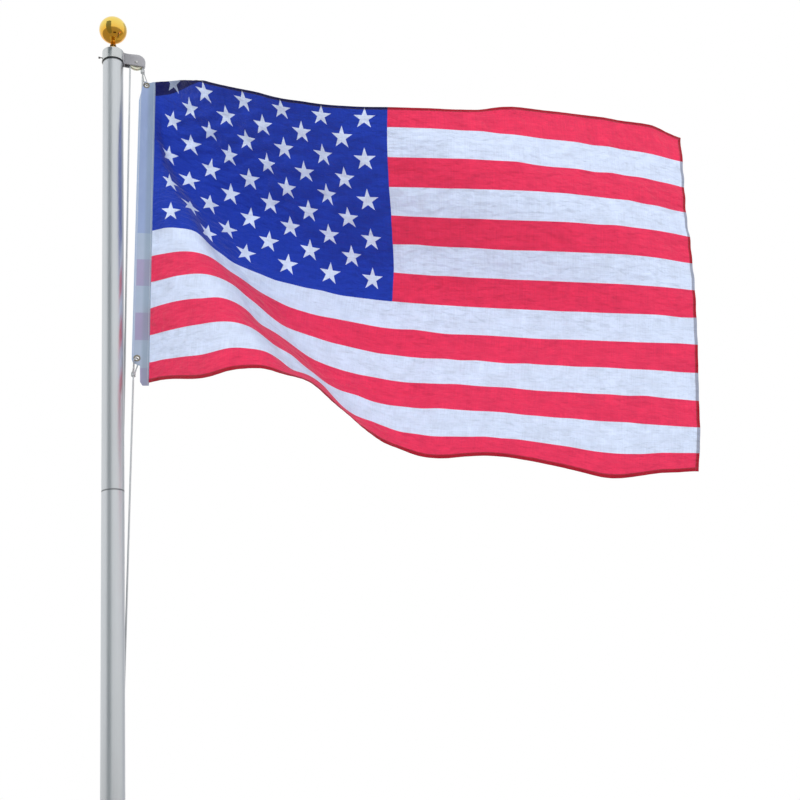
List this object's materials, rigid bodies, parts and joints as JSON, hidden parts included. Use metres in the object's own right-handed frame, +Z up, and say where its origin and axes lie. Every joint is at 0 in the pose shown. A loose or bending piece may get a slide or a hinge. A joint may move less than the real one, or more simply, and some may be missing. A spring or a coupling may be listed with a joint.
{
  "type": "flagpole",
  "caption": "Sectional aluminium flagpole with a ball finial, a truck with a sheave, a cleat and a flag hoisted on its halyard.",
  "frame": {"origin": "centre of the pole's foot, on the ground", "axes": "+Z up along the pole, +X towards the truck's arm and the flag's fly"},
  "size_m": [1.523, 0.4253, 3.785],
  "materials": {
    "pole_aluminium": "satin, drawn",
    "black_plastic": "moulded",
    "cast_truck": "cast, tumbled",
    "screw_steel": "zinc plated",
    "sheave_nylon": "moulded nylon",
    "dark_collar": "moulded",
    "gold_finial": "polished, gold anodised",
    "halyard_rope": "braided polyester",
    "snap_metal": "plated",
    "grommet_brass": "polished",
    "header_canvas": "canvas",
    "flag_polyester": "woven polyester, printed"
  },
  "bodies": {
    "pole": {"pole_section_lower": "pole_aluminium", "pole_section_middle": "pole_aluminium", "pole_section_upper": "pole_aluminium", "foot_plug": "black_plastic", "truck_cap": "cast_truck", "truck_arm": "cast_truck", "truck_set_screw": "screw_steel", "sheave_axle": "screw_steel", "finial_collar": "dark_collar", "finial_neck": "gold_finial", "finial_ball": "gold_finial", "cleat": "cast_truck", "cleat_screw_upper": "screw_steel", "cleat_screw_lower": "screw_steel", "halyard_cleat_turns": "halyard_rope", "halyard_back_fall": "halyard_rope", "halyard_over_sheave": "halyard_rope", "halyard_hoist_fall": "halyard_rope", "halyard_lower_fall": "halyard_rope"},
    "sheave": {"sheave": "sheave_nylon"},
    "flag": {"halyard_along_hoist": "halyard_rope", "knot_top": "halyard_rope", "knot_bottom": "halyard_rope", "snap_hook_top": "snap_metal", "snap_hook_bottom": "snap_metal", "snap_gate_top": "snap_metal", "snap_gate_bottom": "snap_metal", "grommet_top": "grommet_brass", "grommet_bottom": "grommet_brass", "flag_header": "header_canvas", "flag_cloth": "flag_polyester"}
  },
  "joints": [
    {"name": "flag_hoist", "type": "slide", "parent": "pole", "child": "flag", "axis": [0, 0, 1], "range_m": [-1.1, 0], "deforming": ["halyard_hoist_fall", "halyard_lower_fall"]},
    {"name": "sheave_spin", "type": "hinge", "parent": "pole", "child": "sheave", "pos_m": [0.063, 0, 3.6415], "axis": [0, 1, 0], "continuous": true}
  ],
  "couplings": [
    {"joint": "sheave_spin", "follows": "flag_hoist", "rad_per_m": -58.824}
  ]
}
